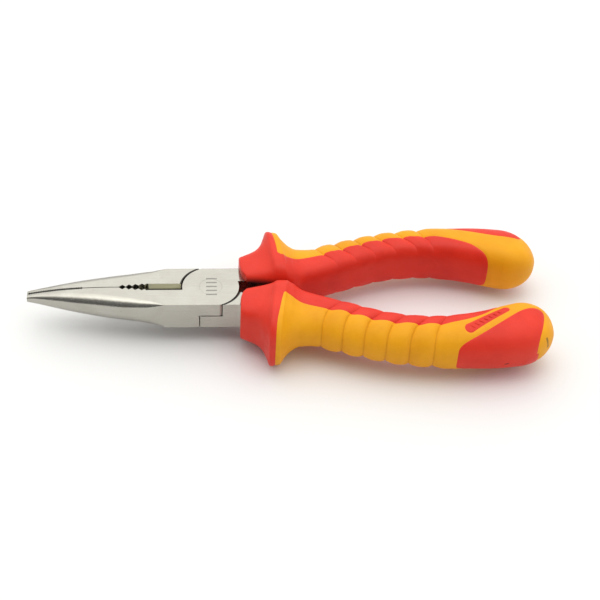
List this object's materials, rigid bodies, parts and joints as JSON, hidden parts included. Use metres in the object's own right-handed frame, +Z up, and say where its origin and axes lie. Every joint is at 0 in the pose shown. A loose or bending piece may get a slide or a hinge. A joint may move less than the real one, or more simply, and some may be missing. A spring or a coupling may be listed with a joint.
{
  "type": "needle nose pliers",
  "caption": "Insulated needle nose pliers with half-round serrated jaws, pipe grip notches, side cutter, lap joint and two-colour guarded handles.",
  "frame": {"origin": "under the middle of the tool, on the plane it lies on", "axes": "+X along the tool from the jaw tips to the handle ends, +Y across the jaws, +Z up along the pivot axis"},
  "size_m": [0.16, 0.0566, 0.0214],
  "materials": {
    "steel": "fine satin ground and nickel plated",
    "red_plastic": "matte moulded",
    "yellow_grip": "soft matte moulded elastomer"
  },
  "bodies": {
    "lower_jaw_arm": {"lower_jaw_half": "steel", "pivot_rivet": "steel", "upper_handle_core": "red_plastic", "upper_handle_soft_grip": "yellow_grip", "upper_tail_inlay": "red_plastic", "upper_badge_inlay": "red_plastic"},
    "upper_jaw_arm": {"upper_jaw_half": "steel", "lower_handle_core": "red_plastic", "lower_handle_soft_grip": "yellow_grip", "lower_tail_inlay": "red_plastic", "lower_badge_inlay": "red_plastic"}
  },
  "joints": [
    {"name": "pivot", "type": "hinge", "parent": "lower_jaw_arm", "child": "upper_jaw_arm", "pos_m": [-0.024, 0, 0.01072], "axis": [0, 0, -1], "range_deg": [0, 40]}
  ]
}
